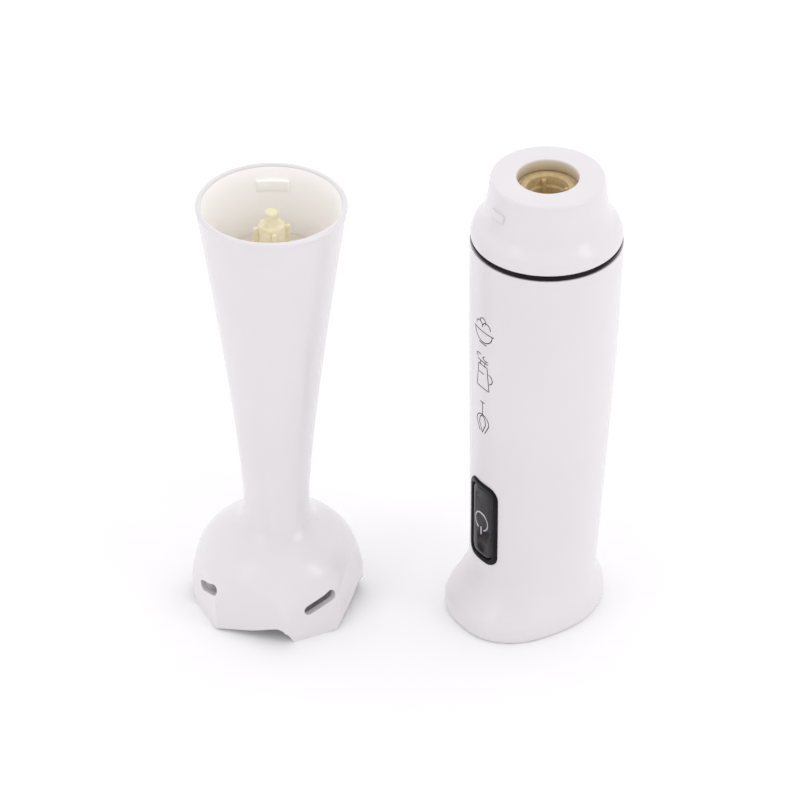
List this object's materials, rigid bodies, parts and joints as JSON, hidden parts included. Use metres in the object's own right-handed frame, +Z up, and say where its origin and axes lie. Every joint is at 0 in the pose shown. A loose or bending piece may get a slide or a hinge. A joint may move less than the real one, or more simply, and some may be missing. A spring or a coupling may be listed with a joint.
{
  "type": "immersion blender",
  "caption": "Hand-held immersion blender shown apart: white motor handle standing on its foot with a black power button, and a flared blending shaft with a slotted bell guard.",
  "frame": {"origin": "on the floor under the motor's drive axis, on the sole of the handle's foot", "axes": "+Z up along the drive axis towards the coupling nose; the blending shaft stands beside the handle along -X"},
  "size_m": [0.175, 0.071, 0.2065],
  "materials": {
    "white_shell": "satin gloss moulded white",
    "white_inner": "satin moulded warm white",
    "dark_chrome": "polished smoked chrome",
    "black_gloss": "high gloss black",
    "cream_plastic": "matt cream engineering plastic",
    "black_rubber": "matt",
    "zinc_screws": "bright zinc",
    "grey_plastic": "matt",
    "can_steel": "rolled, zinc plated",
    "bright_steel": "ground",
    "spring_steel": "drawn wire",
    "bronze": "sintered",
    "ferrite": "matt",
    "carbon": "matt graphite",
    "black_plastic": "matt",
    "laminations": "stamped laminations",
    "copper": "enamelled copper",
    "brown_wire": "satin insulation",
    "red_wire": "satin insulation",
    "board_green": "solder mask",
    "capacitor_yellow": "dipped"
  },
  "bodies": {
    "handle": {"handle_shell": "white_shell", "end_cap": "white_inner", "cap_screws": "zinc_screws", "cord_gland": "black_rubber", "cord_clamp": "white_inner", "clamp_screws": "zinc_screws", "terminal_block": "grey_plastic", "supply_leads": "brown_wire", "nose_collar": "white_shell", "trim_ring": "dark_chrome", "collar_screws": "zinc_screws", "motor_bracket": "grey_plastic", "motor_screws": "zinc_screws", "motor_cradle": "grey_plastic", "damper_ring": "black_rubber", "motor_can": "can_steel", "motor_magnets": "ferrite", "motor_end_bell": "black_plastic", "carbon_brushes": "carbon", "brush_springs": "spring_steel", "front_bearing": "bronze", "rear_bearing": "bronze", "motor_leads": "red_wire", "button_bezel": "black_gloss", "button_spring": "spring_steel", "switch_board": "board_green", "micro_switch": "black_plastic", "rectifier": "black_plastic", "capacitor": "capacitor_yellow"},
    "button": {"power_button": "black_gloss"},
    "plunger": {"switch_plunger": "red_wire"},
    "rotor": {"rotor_shaft": "bright_steel", "rotor_core": "laminations", "rotor_windings": "copper", "commutator": "copper", "cooling_fan": "grey_plastic", "splash_slinger": "black_rubber", "drive_socket": "cream_plastic"},
    "wand": {"wand_housing": "white_shell", "wand_floor": "white_inner", "bearing_tube": "bright_steel", "upper_bush": "bronze", "lower_bush": "bronze", "shaft_seal": "black_rubber", "seal_cover": "white_inner"},
    "blade_unit": {"drive_shaft": "bright_steel", "drive_dog": "cream_plastic", "thrust_washer": "bright_steel", "retaining_clip": "spring_steel", "blade_hub": "bright_steel", "blade": "bright_steel", "blade_nut": "bright_steel"}
  },
  "joints": [
    {"name": "button_press", "type": "slide", "parent": "handle", "child": "button", "axis": [0.8241, 0.5664, 0], "range_m": [0, 0.0018], "stiffness_N_per_m": 1500, "springref_m": -0.0006, "deforming": ["button_spring"]},
    {"name": "plunger_slide", "type": "slide", "parent": "handle", "child": "plunger", "axis": [0.8241, 0.5664, 0], "range_m": [0, 0.0018]},
    {"name": "motor_spin", "type": "hinge", "parent": "handle", "child": "rotor", "pos_m": [0, 0, 0.12], "axis": [0, 0, 1], "continuous": true},
    {"name": "shaft_lift", "type": "slide", "parent": "handle", "child": "wand", "axis": [0, 0, 1], "range_m": [0, 0.25]},
    {"name": "blade_spin", "type": "hinge", "parent": "wand", "child": "blade_unit", "pos_m": [-0.109, 0, 0.1], "axis": [0, 0, 1], "continuous": true}
  ],
  "couplings": [
    {"joint": "plunger_slide", "follows": "button_press", "ratio": 1}
  ]
}
